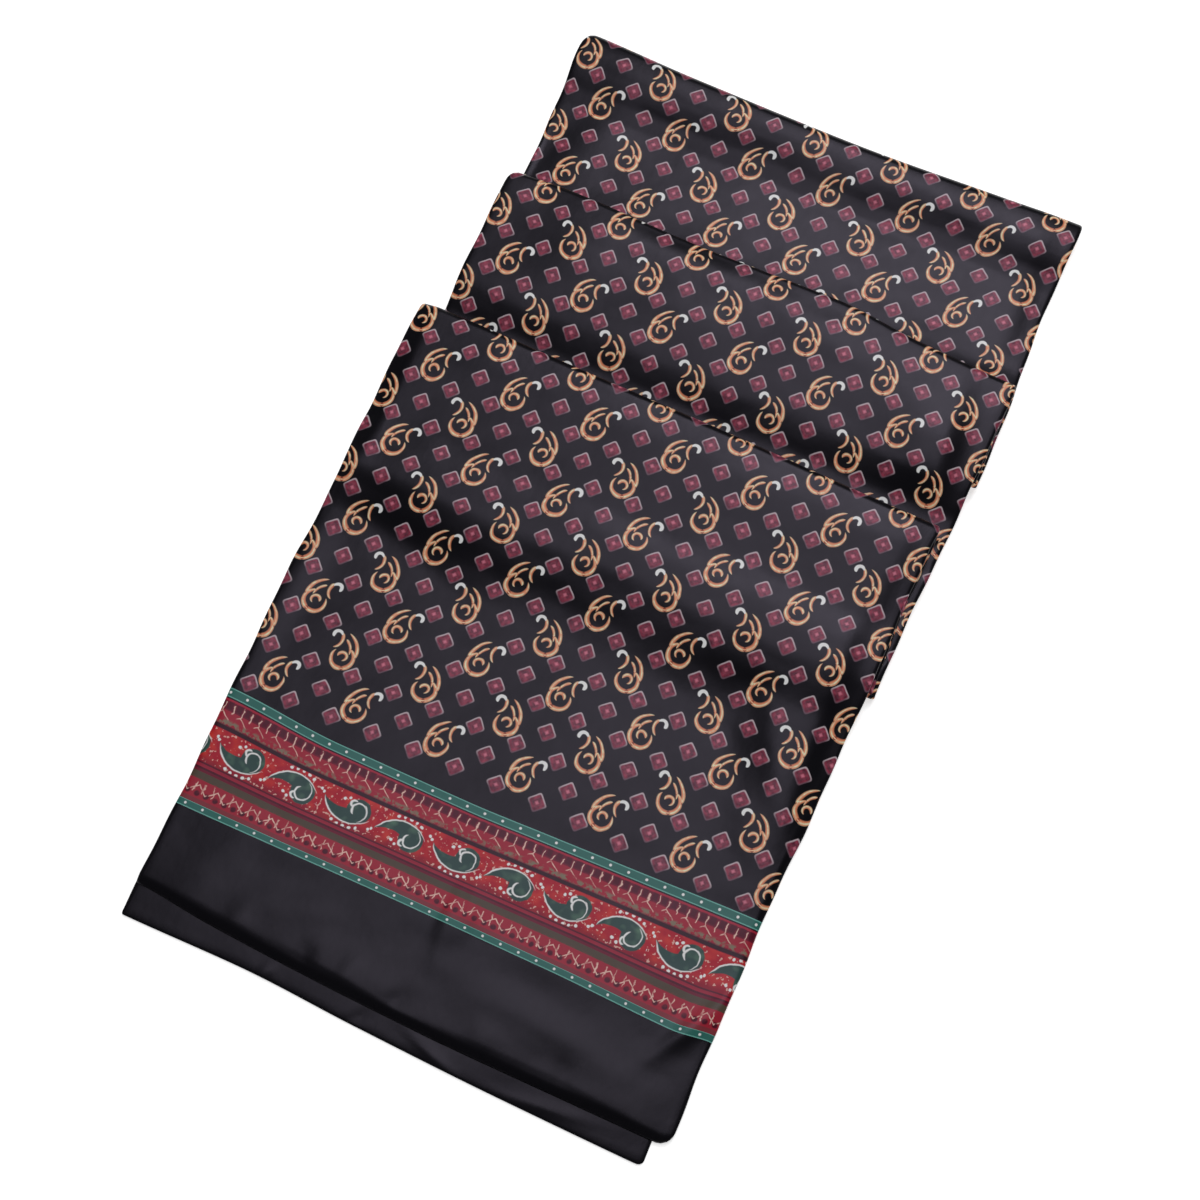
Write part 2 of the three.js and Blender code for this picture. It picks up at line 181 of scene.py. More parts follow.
# The second and third steps of the pleats: the hidden turn, the level that the cloth comes from
# there, the fold with its corners and rows, and the cloth turned under at it.
MIDDLE_STEP = {
    "sides": MIDDLE_SIDES, "pleat": FRONT_PLEAT, "from": FRONT_RETURN[0]["height"],
    "fold": MIDDLE_FOLD, "corners": (6, 1.5), "rows": 76, "creased": 88,
    "under_sides": MIDDLE_RETURN_SIDES, "under_rows": 14, "under_stop": MIDDLE_PLEAT,
}
BACK_STEP = {
    "sides": BACK_SIDES, "pleat": MIDDLE_PLEAT, "from": MIDDLE_RETURN[0]["height"],
    "fold": BACK_FOLD, "corners": (6, 1), "rows": 66, "creased": 78,
    "under_sides": BACK_SIDES, "under_rows": 8, "under_stop": BACK_END,
}

# Large soft folds, which move both silks of the tube. More than half follow the solids' own. On
# the middle and the back they start where the cloth comes into sight.
MIDDLE_SHOWS = {"begin": 368, "grows": 18}
BACK_SHOWS = {"begin": 462, "grows": 14}
FRONT_RIDGES = table(
    "across along turn length width lift far",
    (120, 212, -58, 46, 11, 2.6, 0.35),
    (129, 228, -86, 56, 26, 2.8, 3),
    (131, 322, -92, 40, 22, 1.3, 2.5),
    (-98, 262, -12, 52, 17, 1.5),
    (70, 250, 10, 60, 15, 1.1),
    (10, 150, 82, 90, 34, 0.9),
    (-104, 25, -4, 40, 4, 0.8, 0.24),
    (-34, 22, -5, 34, 4, 1.0, 0.24),
    (42, 21, 2, 38, 5, 0.9, 0.25),
    (112, 20, -3, 30, 5, 1.2, 0.3),
    (40, 53, 2, 90, 10, -0.5),
    (-120, 46, 75, 34, 14, 0.6),
    (2, 62, 96, 18, 5, 0.7),
    (136, 76, 62, 26, 6, 1.2),
    (-150, 215, 88, 70, 9, 1.2),
)
MIDDLE_RIDGES = table(
    "across along turn length width lift far",
    (-88, 432, 70, 26, 24, 1.1),
    (44, 434, -8, 52, 13, 1.0),
    (132, 398, -84, 32, 26, 3.0, 2.6),
    (-28, 410, 20, 40, 9, 0.8),
    (-34, 459, -2, 46, 8, -2.0),
)
BACK_RIDGES = table(
    "across along turn length width lift far",
    (60, 502, 4, 74, 14, 0.8),
    (-112, 504, 66, 24, 15, 0.9),
    (138, 505, -86, 44, 20, 1.1, 2.4),
)

# Small creases of the tube's top silk: troughs where the lift is below zero.
FRONT_CREASES = table(
    "across along turn length width lift far",
    (8, 76, 97, 22, 3.2, 0.45),
    (-6, 72, 84, 15, 2.6, -0.35),
    (132, 70, 58, 26, 3.6, 0.7),
    (-96, 25, 70, 9, 6, 0.5),
    (-58, 23, 104, 8, 5, -0.6),
    (-34, 24, 80, 9, 5, 0.5),
    (-6, 22, 66, 8, 5, -0.6),
    (40, 22, 96, 9, 7, 0.5),
    (84, 22, 110, 9, 5, -0.5),
    (-70, 44, 12, 40, 9, 0.6),
    (56, 42, -8, 60, 9, 0.8),
    (116, 184, -64, 52, 12, 1.9, 0.5),
    (96, 206, -52, 34, 8, -0.6),
    (-110, 236, -16, 44, 10, -0.7),
    (-40, 300, 8, 50, 12, 0.6),
)
MIDDLE_CREASES = table(
    "across along turn length width lift",
    (-60, 404, 14, 34, 6, -0.5),
    (76, 398, -10, 30, 6, -0.5),
    (148, 282, 8, 12, 3, -0.6),
    (150, 306, -14, 12, 3.6, -0.7),
    (149, 334, 10, 14, 3, -0.6),
    (151, 356, -6, 12, 3.4, -0.7),
)
BACK_CREASES = table(
    "across along turn length width lift",
    (-30, 530, 6, 40, 7, -0.5),
    (90, 528, -4, 44, 8, -0.6),
    (-138, 470, 80, 30, 8, -0.6),
)
LOWER_CREASES = table(
    "across along turn length width lift",
    (-72, 8, 64, 7, 3, 0.5),
    (-20, 7, 50, 8, 3, -0.4),
    (18, 7, -20, 16, 3, 0.5),
    (84, 6, 8, 26, 3, 0.4),
)

# Edges of the printed border, where the upper plain end stops and the ground begins, its depth
# as drawn, and how far past it its part of the mesh goes.
BORDER_LOW = table("across along", (-152, 65.3), (-15, 66.5), (55, 66.4), (124, 65), (144, 67.4))
BORDER_HIGH = table(
    "across along",
    (-154, 130.4), (-89, 126.6), (-16, 126.5), (31, 128), (78, 129.8), (144, 131.8),
)
BORDER_DEPTH = 64
BORDER_MARGIN = 0.8
# About where the two edges lie, to read the sides of the cloth there.
BORDER_ABOUT = {"low": 66, "high": 128}

# Repeat of the ground's print, and where one of its curls lies on each stretch. Its rows rise and
# fall a little across the cloth. The repeats "before" it reach back past a hidden start.
REPEAT_ACROSS = 46.3
REPEAT_ALONG = 46.9
FRONT_ROWS = table(
    "across rise",
    (-140, -1.5), (-110, -0.2), (-60, 1.8), (-10, 2.9), (35, 2.6), (85, 0), (125, -0.2),
)
MIDDLE_ROWS = table(
    "across rise",
    (-140, 5.5), (-110, 4.2), (-60, 0.6), (-10, 2.4), (40, 2.8), (90, -0.8), (125, -2.6),
)
BACK_ROWS = table(
    "across rise",
    (-140, 3), (-110, 1.7), (-60, 0.8), (-10, 2.6), (40, 5.6), (90, 8.8), (125, 13), (150, 15),
)
PRINT_PLACES = {
    "front": dict(across=4.5, along=149.3, lean=0.022, before=0, rows=FRONT_ROWS),
    "middle": dict(across=18.0, along=403.2, lean=0.03, before=4, rows=MIDDLE_ROWS),
    "back": dict(across=21.0, along=473.2, lean=0.02, before=6, rows=BACK_ROWS),
}

# Satin: how dull it is, how strong and of what tint its shine, and the depth of its slow waves.
SATIN = {"roughness": 0.34, "specular": 0.235, "bump": 0.9}
SATIN_TINT = (0.75, 0.68, 0.86)
# Sizes of its slow waves and of its fine unevenness, and the share that each has.
WEAVE = {"slow": 26, "fine": 3.4, "fine_height": 0.06, "slow_dull": 0.04, "fine_dull": 0.05}

# Printed colours as the eye reads them, 0 to 255. The light is soft and dim, so every ink but the
# ground's gives back this many times as much, up to the brightest.
PRINT_LIFT = 1.45
BRIGHTEST_INK = 0.9
EYE_COLOURS = {
    "ground": (8, 8, 11),
    "square": (80, 30, 44),
    "square, bright": (140, 56, 74),
    # The squares' line comes as a lit and a dim copy: painted light and painted shade on its sides.
    "square line": (180, 166, 172),
    "square line, dim": (92, 70, 80),
    "speck": (190, 110, 128),
    "copper": (200, 126, 92),
    "copper shade": (128, 54, 44),
    "copper light": (246, 206, 172),
    "cream": (232, 226, 222),
    "teal": (40, 92, 84),
    "teal line": (92, 150, 140),
    "white dot": (235, 232, 225),
    "dark line": (38, 14, 22),
    "maroon": (94, 18, 36),
    "rose": (146, 32, 50),
    "dark maroon": (66, 14, 28),
    "pink red": (140, 32, 46),
    "pink red, deep": (140, 34, 48),
    "light pink": (244, 172, 160),
    "grey green": (104, 112, 92),
    "dark brown": (44, 18, 24),
    "main red": (150, 20, 34),
    "orange red": (182, 52, 40),
    "leaf": (40, 64, 60),
    "leaf, light": (74, 104, 86),
    "leaf line": (240, 230, 208),
    "olive brown": (70, 60, 48),
    "dull red": (112, 44, 50),
}

# Below these places, counted up from the front's curl, the print has no more curls and no more
# squares, so the border cuts none.
FIRST_CURLS = -12
FIRST_SQUARES = -17.6

# How far the hand-printed ground strays, and over what length.
STRAY = {"size": 9, "shift": 1.1}
# Squares of the ground, as shares of the way from one to the next, and how sharp their corners.
SQUARE = {"half": 0.243, "line": 0.034, "speck": 0.05, "ring": 0.11, "corners": 7}

# The paisley curl, as brush strokes along circles: millimetres from its middle, and degrees.
CURL_SHIFT = (1.0, 0.9)
CURL_STROKES = [
    dict(centre=(-1.2, -3.6), radius=5.8, turn=(100, 262), widths=(1.1, 3.0)),
    dict(centre=(-1.2, -3.6), radius=5.8, turn=(236, 392), widths=(3.0, 1.1)),
    dict(centre=(4.8, -1.5), radius=12, turn=(110, 184), widths=(1.1, 2.3)),
    dict(centre=(8.6, 5), radius=5.6, turn=(136, 240), widths=(1.9, 1.1)),
    dict(centre=(-1.0, -3.0), radius=2.3, turn=(-10, 250), widths=(1.9, 1.1)),
    dict(centre=(4.8, -1.5), radius=8.6, turn=(116, 176), widths=(1.5, 0.9)),
]
HOOK_STROKES = [dict(centre=(6.4, 7.2), radius=2.1, turn=(-50, 168), widths=(2.1, 1.4))]

# Stripes of the border: millimetres below its upper edge, with one more of ground over it.
BORDER_STRIPES = [
    (0, "ground"), (1, "teal line"), (1.5, "teal"), (5.3, "teal line"), (5.8, "dark line"),
    (6.5, "rose"), (7.5, "maroon"), (12.4, "pink red"), (19.2, "maroon"), (19.7, "dark brown"),
    (21.6, "maroon"), (22, "main red"), (41, "dark line"), (41.8, "rose"), (43.4, "dark maroon"),
    (44.6, "maroon"), (45.7, "olive brown"), (49.6, "pink red"), (58.8, "dull red"),
    (61.1, "teal line"), (61.6, "teal"), (64.5, "teal line"), (65, "ground"),
]
STRIPES_END = 68
LEAF = {"period": 61, "place": 17, "middle": 30.5, "scale": 1.16}
LEAF_STROKES = [
    dict(centre=(1, -7.5), radius=13.3, turn=(40, 156), widths=(0.4, 0.8)),
    dict(centre=(5.2, -1.8), radius=3.1, turn=(120, 330), widths=(1.1, 0.5)),
    dict(centre=(4.2, -0.6), radius=5.0, turn=(-60, 60), widths=(0.7, 0.3)),
    dict(centre=(2.4, -3.8), radius=1.5, turn=(90, 300), widths=(1.1, 0.8)),
]
LEAF_DOTS = [(-14.4, 1.4), (-12.6, -3.4), (-2.6, -4.4), (-0.4, -5.6), (14.2, -4.2), (12.6, 4.4)]
# Small marks of the border: how far apart they are, and where the two rows of dots lie.
TICK_GAP = 5.2
BRANCH_GAP = 2 * TICK_GAP
DOT_GAP = 9.8
DOT_ROWS = (2.4, 62.1)

# The room: its even light, the table with a glow that keeps it white, and two lamps, in metres.
WHITE = (1, 1, 1, 1)
ROOM_LIGHT = 0.12
TABLE = {"grey": 0.9, "roughness": 0.8, "glow": 0.62, "size": 12, "top": -0.0002}
LAMPS = [
    dict(name="window light", place=(-0.05, 1.45, 2.3), size=(1.0, 1.0), power=24),
    dict(name="ceiling light", place=(-0.12, 0.27, 2.6), size=(1.5, 0.95), power=16.5),
]


def read(rows, key, at, column="along"):
    """A row's value at a place, with a smooth curve through the rows that never overshoots."""
    places = np.array([row[column] for row in rows], float)
    values = np.array([row[key] for row in rows], float)
    spans = np.diff(places)
    slopes = np.diff(values) / spans
    before, after = slopes[:-1], slopes[1:]
    total = np.where(before * after > 0, before + after, 1)
    tangents = np.zeros(len(places))
    tangents[1:-1] = np.where(before * after > 0, 2 * before * after / total, 0)
    at = np.clip(at, places[0], places[-1])
    row = np.clip(np.searchsorted(places, at, side="right") - 1, 0, len(spans) - 1)
    part = (at - places[row]) / spans[row]
    rise = part * part * (3 - 2 * part)
    bend = tangents[row] * part * (1 - part) ** 2 - tangents[row + 1] * part**2 * (1 - part)
    return values[row] * (1 - rise) + values[row + 1] * rise + spans[row] * bend


def smooth(part):
    part = np.clip(part, 0, 1)
    return part * part * (3 - 2 * part)


def lift_of(ridges, across, along):
    """Height that the soft ridges and troughs add. "far" says how much steeper one side is."""
    lift = np.zeros(np.broadcast(across, along).shape)
    for ridge in ridges:
        turn = math.radians(ridge["turn"])
        dx, dy = across - ridge["across"], along - ridge["along"]
        run = (dx * math.cos(turn) + dy * math.sin(turn)) / ridge["length"]
        side = (dy * math.cos(turn) - dx * math.sin(turn)) / ridge["width"]
        side = side * np.where(side > 0, ridge.get("far", 1), 1)
        lift += ridge["lift"] * np.exp(-(run**2) - side**2)
    return lift


def ring_columns():
    """Places round the flattened tube: share of the width, turn past a long edge, and height."""
    turns = [math.radians(turn) for turn in EDGE_TURNS]
    top = [(i / TOP_COLUMNS, 0, 1) for i in range(TOP_COLUMNS + 1)]
    right = [(1, math.cos(turn), math.sin(turn)) for turn in turns]
    under = [(1 - i / UNDER_COLUMNS, 0, -1) for i in range(UNDER_COLUMNS + 1)]
    left = [(0, -math.cos(turn), math.sin(turn)) for turn in reversed(turns)]
    return np.array(top + right + under + left).T


SHARE, PAST_EDGE, SKIN = ring_columns()
RIGHT_COLUMN = TOP_COLUMNS
SEAM_COLUMN = TOP_COLUMNS + 1 + len(EDGE_TURNS) + UNDER_COLUMNS // 2


def across_at(sides, along):
    left, right = read(sides, "left", along), read(sides, "right", along)
    return left + EDGE_ROUND + SHARE * (right - left - 2 * EDGE_ROUND)


def rounded_corner(sides, at, radii):
    """How far a rounded corner pulls the end of a stretch in, at each place round the tube."""
    left, right = read(sides, "left", at), read(sides, "right", at)
    across = left + EDGE_ROUND + SHARE * (right - left - 2 * EDGE_ROUND) + PAST_EDGE * EDGE_ROUND
    pull = np.zeros(len(SHARE))
    for inset, radius in ((across - left, radii[0]), (right - across, radii[1])):
        inside = np.clip(radius - inset, 0, radius)
        pull += radius - np.sqrt(radius**2 - inside**2)
    return pull


def leg(sides, begin, end, rows, height, first=0):
    """Rows of a stretch that lies flat: where the tube's middle runs, from begin to end."""
    part = np.linspace(0, 1, rows + 1)[first:, None]
    along = begin + (end - begin) * part + np.zeros(len(SHARE))
    across = across_at(sides, along)
    return dict(along=along, across=across, height=height(across, along))


def turn_round(before, height_after, outward, rows=12):
    """Half a circle from the end of one leg down to the level of the next one."""
    along, across, height = (before[key][-1] for key in ("along", "across", "height"))
    radius = (height - height_after) / 2
    angle = np.radians(90 - 180 * np.linspace(0, 1, rows + 1)[1:-1, None])
    return dict(
        along=along + outward * radius * np.cos(angle),
        across=np.broadcast_to(across, (rows - 1, len(across))),
        height=height - radius + radius * np.sin(angle),
    )


def joined(legs):
    return {key: np.vstack([part[key] for part in legs]) for key in ("along", "across", "height")}


def unevenness(along, side):
    """How far a long edge strays. The side is 1 or -1, so that the two edges differ."""
    return sum(w["size"] * np.sin(along / w["length"] + w["shift"] * side) for w in EDGE_WAVES)


def tube_skin(path, half, creases, taper=None):
    """Points of the tube's skin round a path. The creases move its top silk alone."""
    along, across, height = path["along"], path["across"], path["height"]
    rise, run = np.gradient(height, axis=0), np.gradient(along, axis=0)
    length = np.hypot(rise, run)
    up_along, up_height = -rise / length, run / length
    thick = np.full(along.shape, float(half))
    if taper is not None:
        thick *= taper[:, None]
    off = SKIN * thick + np.where(SKIN == 1, creases, 0)
    edge = PAST_EDGE * (EDGE_ROUND + unevenness(along, np.sign(PAST_EDGE)))
    return np.stack([across + edge, along + up_along * off, height + up_height * off], axis=-1)


def cloth_places(skin, place):
    """Where each point of the skin lies on the print, across and along, in millimetres."""
    step = np.linalg.norm(np.diff(skin[..., 1:], axis=0), axis=-1)
    run = np.vstack([np.zeros(skin.shape[1]), np.cumsum(step, axis=0)])
    out = [slice(0, np.argmax(skin[:, c, 1])) for c in range(skin.shape[1])]
    zero = [np.interp(place["along"], skin[rows, c, 1], run[rows, c])
            for c, rows in enumerate(out)]
    run = run - np.array(zero) - read(place["rows"], "rise", skin[..., 0], "across")
    run = run + place["before"] * REPEAT_ALONG
    lean = place["lean"] * (run - place["before"] * REPEAT_ALONG)
    round_step = np.linalg.norm(np.roll(skin, -1, axis=1) - skin, axis=-1)
    from_right = np.cumsum(round_step[:, RIGHT_COLUMN:], axis=1)
    from_left = np.cumsum(round_step[:, ::-1], axis=1)[:, ::-1]
    right = skin[:, [RIGHT_COLUMN], 0] + np.hstack([np.zeros((len(skin), 1)), from_right[:, :-1]])
    left = skin[:, [0], 0] - from_left
    across = skin[..., 0] - place["across"]
    start = across.copy()
    start[:, RIGHT_COLUMN:] = right - place["across"]
    start[:, SEAM_COLUMN:] = left[:, SEAM_COLUMN:] - place["across"]
    stop = np.roll(start, -1, axis=1)
    stop[:, SEAM_COLUMN - 1] = right[:, SEAM_COLUMN - RIGHT_COLUMN] - place["across"]
    return start - lean, stop - np.roll(lean, -1, axis=1), run


def front_edge(rows, sides, radii):
    """Where a plain end starts, at each place round the tube."""
    at = read(rows, "along", across_at(sides, 0), "across")
    return at + rounded_corner(sides, at, radii)


def fold_edge(rows, sides, radii):
    """The outer line of a fold, at each place round the tube."""
    middle = rows[2]["along"]
    at = read(rows, "along", across_at(sides, middle), "across")
    return at - rounded_corner(sides, at, radii)


def level(rows):
    """The height of a leg from a table's rows, the same right across."""
    return lambda across, along: read(rows, "height", along)


def one_level(height):
    return lambda across, along: np.full(along.shape, float(height))


def over_edge(across):
    """How far the front's left edge hangs down, where nothing is under it."""
    return DROOP["depth"] * smooth((DROOP["edge"] - across) / DROOP["width"])


def front_height(across, along):
    droop = over_edge(across) * smooth((along - DROOP["begin"]) / DROOP["grows"])
    run = along - read(FRONT_FRONT, "along", across, "across")
    roll = FRONT_ROLL["drop"] * (1 - smooth(run / FRONT_ROLL["width"]))
    lying = read(FRONT_HEIGHTS, "height", along) + lift_of(FRONT_RIDGES, across, along)
    return lying - droop - roll


def front_return_height(across, along):
    droop = over_edge(across) * smooth((along - FRONT_PLEAT) / DROOP["grows_under"])
    return read(FRONT_RETURN, "height", along) - droop


def middle_height(across, along):
    shown = smooth((along - MIDDLE_SHOWS["begin"]) / MIDDLE_SHOWS["grows"])
    return read(MIDDLE_HEIGHTS, "height", along) + shown * lift_of(MIDDLE_RIDGES, across, along)


def back_height(across, along):
    shown = smooth((along - BACK_SHOWS["begin"]) / BACK_SHOWS["grows"])
    return read(BACK_HEIGHTS, "height", along) + shown * lift_of(BACK_RIDGES, across, along)


def turn_start(outer, sides, height, under_height):
    """Where a leg stops so that its turn just reaches the outer line. Four rounds settle it."""
    stop = outer - HALF_THICK
    for _ in range(4):
        across = across_at(sides, stop)
        stop = outer - HALF_THICK - (height(across, stop) - under_height(across, stop)) / 2
    return stop


def end_taper(path, length):
    """Share of the thickness in each row, since the two silks come together at a sewn end."""
    run = np.clip((path["along"] - path["along"][0]).mean(axis=1) / length, 0, 1)
    return THINNEST_END + (1 - THINNEST_END) * np.sqrt(1 - (1 - run) ** 2)


def upper_folds(sides, height, under_height, outer, start, rows, under):
    """A leg up to its fold, the fold, and the cloth turned back under it."""
    turn = turn_start(outer, sides, height, under_height)
    out = leg(sides, start, turn, rows, height, first=1)
    turned = turn_round(out, under_height(out["across"][-1], turn), 1)
    return [out, turned, leg(under["sides"], turn, under["stop"], under["rows"], under_height)]


def front_path():
    """The upper half's first step, from its plain end, with the rows where its border lies."""
    sides, mesh = FRONT_SIDES, FRONT_MESH
    begin = front_edge(FRONT_FRONT, sides, FRONT_CORNERS["end"])
    plain = begin + FRONT_END_RUN
    low_line = across_at(sides, BORDER_ABOUT["low"])
    high_line = across_at(sides, BORDER_ABOUT["high"])
    low = read(BORDER_LOW, "along", low_line, "across") - BORDER_MARGIN
    high = read(BORDER_HIGH, "along", high_line, "across") + BORDER_MARGIN
    legs = [
        leg(sides, begin, plain, mesh["end"], front_height),
        leg(sides, plain, low, mesh["plain"], front_height, first=1),
        leg(sides, low, high, mesh["border"], front_height, first=1),
    ]
    outer = fold_edge(FRONT_FOLD, sides, FRONT_CORNERS["fold"])
    under = {"sides": FRONT_RETURN_SIDES, "stop": FRONT_PLEAT, "rows": mesh["under"]}
    legs += upper_folds(sides, front_height, front_return_height, outer, high, mesh["ground"],
                        under)
    border_begins = mesh["end"] + mesh["plain"]
    return joined(legs), (border_begins, border_begins + mesh["border"])


def step_path(step, height, under_height):
    """A step of the pleats: its hidden turn, its leg, its fold, and its cloth turned under."""
    sides, pleat, begin = step["sides"], step["pleat"], step["pleat"] + STEP_RUN_IN
    start = leg(sides, pleat, pleat, 1, one_level(step["from"]))
    start = {key: rows[:1] for key, rows in start.items()}
    loop = turn_round(start, height(start["across"][0], start["along"][0]), -1)
    first = leg(sides, pleat, begin, 1, height)
    outer = fold_edge(step["fold"], sides, step["corners"])
    under = {word: step["under_" + word] for word in ("sides", "stop", "rows")}
    legs = upper_folds(sides, height, under_height, outer, begin, step["rows"], under)
    return joined([start, loop, first] + legs)


def lower_path():
    """The lower half from its plain end to where it meets the top fold, with its own pleats."""
    begin, lying = front_edge(LOWER_FRONT, LOWER_SIDES, LOWER_CORNERS), level(LOWER_FIRST)
    start = begin + LOWER_END["run"]
    legs = [leg(LOWER_SIDES, begin, start, LOWER_END["rows"], lying)]
    for run in LOWER_MESH:
        legs.append(leg(LOWER_SIDES, start, run["stop"], run["rows"], lying, first=1))
        start = run["stop"]
    turn, back, on = PLEAT_MESH["turn"], PLEAT_MESH["back"], PLEAT_MESH["on"]
    for pleat in LOWER_PLEATS:
        legs.append(turn_round(legs[-1], LOWER_BETWEEN, 1, turn))
        legs.append(leg(LOWER_SIDES, pleat["fold"], pleat["back"], back,
                        one_level(LOWER_BETWEEN)))
        legs.append(turn_round(legs[-1], LOWER_BASE, -1, turn))
        legs.append(leg(LOWER_SIDES, pleat["back"], pleat["stop"], on,
                        level(pleat["heights"])))
    border_begins = LOWER_END["rows"] + LOWER_MESH[0]["rows"] + LOWER_MESH[1]["rows"]
    return joined(legs), (border_begins, border_begins + LOWER_MESH[2]["rows"])


def cloth_mesh(name, skin, places, materials, bands=(0, 0), border=None, closed=False):
    """A tube of cloth with its print's places. Its bands are plain cloth, border and ground."""
    rows, columns = skin.shape[:2]
    start, stop, run = places
    faces, face_places, which = [], [], []
    bordered = border if border is not None else run
    for k in range(rows - 1):
        band = 2 if k >= bands[1] else 1 if k >= bands[0] else 0
        up = bordered if band == 1 else run
        for c in range(columns):
            d = (c + 1) % columns
            faces.append((k * columns + c, k * columns + d, (k + 1) * columns + d,
                          (k + 1) * columns + c))
            face_places += [(start[k, c], up[k, c]), (stop[k, c], up[k, d]),
                            (stop[k + 1, c], up[k + 1, d]), (start[k + 1, c], up[k + 1, c])]
            which.append(band)
    if closed:
        for ring in end_rings(columns):
            faces.append(ring)
            face_places += [(start[0, c], run[0, c]) for c in ring]
            which.append(0)
    mesh = bpy.data.meshes.new(name)
    points = skin.reshape(-1, 3) - np.array([0, FOLDED_LENGTH / 2, 0])
    mesh.from_pydata((points * MM).tolist(), [], faces)
    layer = mesh.uv_layers.new(name="cloth")
    layer.data.foreach_set("uv", np.array(face_places, np.float32).ravel())
    for material in materials:
        mesh.materials.append(material)
    last = len(materials) - 1
    mesh.polygons.foreach_set("material_index", np.array([min(w, last) for w in which]))
    mesh.polygons.foreach_set("use_smooth", np.ones(len(faces), bool))
    mesh.update()
    cloth = bpy.data.objects.new(name, mesh)
    bpy.context.scene.collection.objects.link(cloth)
    wall = cloth.modifiers.new("silk", "SOLIDIFY")
    wall.thickness, wall.offset = SILK * MM, -1
    return cloth


def end_rings(columns):
    """Faces that sew the tube's end shut, from its under cloth to its top cloth."""
    turns = len(EDGE_TURNS)
    under = TOP_COLUMNS + 1 + turns
    rings = [tuple(range(under, TOP_COLUMNS - 1, -1)),
             (0,) + tuple(range(columns - 1, under + UNDER_COLUMNS - 1, -1))]
    for i in range(UNDER_COLUMNS):
        left = under + UNDER_COLUMNS - i
        rings.append((2 * i + 2, 2 * i + 1, 2 * i, left, left - 1))
    return rings


def small_creases(creases, path, rows):
    """How far the small creases lift the top silk, on a path's first rows."""
    lift = lift_of(creases, path["across"], path["along"])
    lift[rows:] = 0
    return lift


def front_piece(silks):
    """The first step, from the upper plain end up to its fold and under it."""
    path, bands = front_path()
    creases = small_creases(FRONT_CREASES, path, FRONT_CREASED_ROWS)
    skin = tube_skin(path, HALF_THICK, creases, end_taper(path, FRONT_TAPER))
    high = read(BORDER_HIGH, "along", path["across"], "across")
    low = read(BORDER_LOW, "along", path["across"], "across")
    border = (skin[..., 1] - high) * BORDER_DEPTH / (high - low)
    places = cloth_places(skin, PRINT_PLACES["front"])
    return cloth_mesh("front_cloth", skin, places, silks, bands, border, closed=True), skin


def step_piece(name, step, heights, creases, place, silks):
    """The second or third step, from its hidden turn up to its fold and under it."""
    path = step_path(step, *heights)
    skin = tube_skin(path, HALF_THICK, small_creases(creases, path, step["creased"]))
    return cloth_mesh(name, skin, cloth_places(skin, place), silks), skin


def lower_piece(silks):
    """The lower half, which shows at its plain end and at the sides."""
    path, bands = lower_path()
    creases = small_creases(LOWER_CREASES, path, LOWER_CREASED_ROWS)
    skin = tube_skin(path, LOWER_HALF_THICK, creases, end_taper(path, LOWER_TAPER))
    border = skin[..., 1] - LOWER_BORDER["high"]
    places = cloth_places(skin, PRINT_PLACES["front"])
    return cloth_mesh("lower_cloth", skin, places, silks, bands, border, closed=True), skin


class Number:
    """A number inside a shader, so that its formulas read like sums."""

    def __init__(self, tree, socket):
        self.tree, self.socket = tree, socket

    def made(self, operation, *others, clamp=False):
        node = self.tree.nodes.new("ShaderNodeMath")
        node.operation, node.use_clamp = operation, clamp
        for socket, value in zip(node.inputs, (self, *others)):
            if isinstance(value, Number):
                self.tree.links.new(value.socket, socket)
            else:
                socket.default_value = value
        return Number(self.tree, node.outputs[0])

    def __add__(self, other):
        return self.made("ADD", other)

    def __sub__(self, other):
        return self.made("SUBTRACT", other)

    def __mul__(self, other):
        return self.made("MULTIPLY", other)

    def __abs__(self):
        return self.made("ABSOLUTE")

    def __pow__(self, power):
        return self.made("POWER", power)

    def less_from(self, whole):
        return self.made("MULTIPLY_ADD", -1, whole)

    def repeat(self, period):
        """Distance from the nearest of the places that lie one period apart."""
        return self.made("WRAP", period / 2, -period / 2)

    def zigzag(self, period, swing):
        return self.made("PINGPONG", period / 2) * (4 * swing / period) - swing

    def below(self, edge, soft):
        """1 where the number is under the edge, 0 over it, with a soft step between."""
        away = edge - self if isinstance(edge, Number) else self.less_from(edge)
        return away.made("MULTIPLY_ADD", 1 / soft, 0.5, clamp=True)

    def between(self, low, high, soft):
        middle, half = (low + high) / 2, (high - low) / 2
        return abs(self - middle).below(half, soft)


def off_point(x, y, at):
    """Distance of a place from a point."""
    dx, dy = x - at[0], y - at[1]
    return (dx * dx + dy * dy) ** 0.5


def either(*masks):
    most = masks[0]
    for mask in masks[1:]:
        most = most.made("MAXIMUM", mask)
    return most


def ink(red, green, blue):
    """A printed colour as the eye reads it, 0 to 255, turned into the light that it gives back."""
    parts = [part / 255 for part in (red, green, blue)]
    return [p / 12.92 if p < 0.04 else ((p + 0.055) / 1.055) ** 2.4 for p in parts] + [1]


INK = {name: ink(*colour) for name, colour in EYE_COLOURS.items()}
for name in set(INK) - {"ground"}:
    INK[name] = [min(part * PRINT_LIFT, BRIGHTEST_INK) for part in INK[name][:3]] + [1]


def paint(colour, mask, over):
    """Lays one colour over another where the mask is 1. A colour is a socket or an ink."""
    mix = mask.tree.nodes.new("ShaderNodeMix")
    mix.data_type = "RGBA"
    mask.tree.links.new(mask.socket, mix.inputs[0])
    for socket, value in ((mix.inputs[6], colour), (mix.inputs[7], over)):
        if isinstance(value, list):
            socket.default_value = value
        else:
            mask.tree.links.new(value, socket)
    return mix.outputs[2]


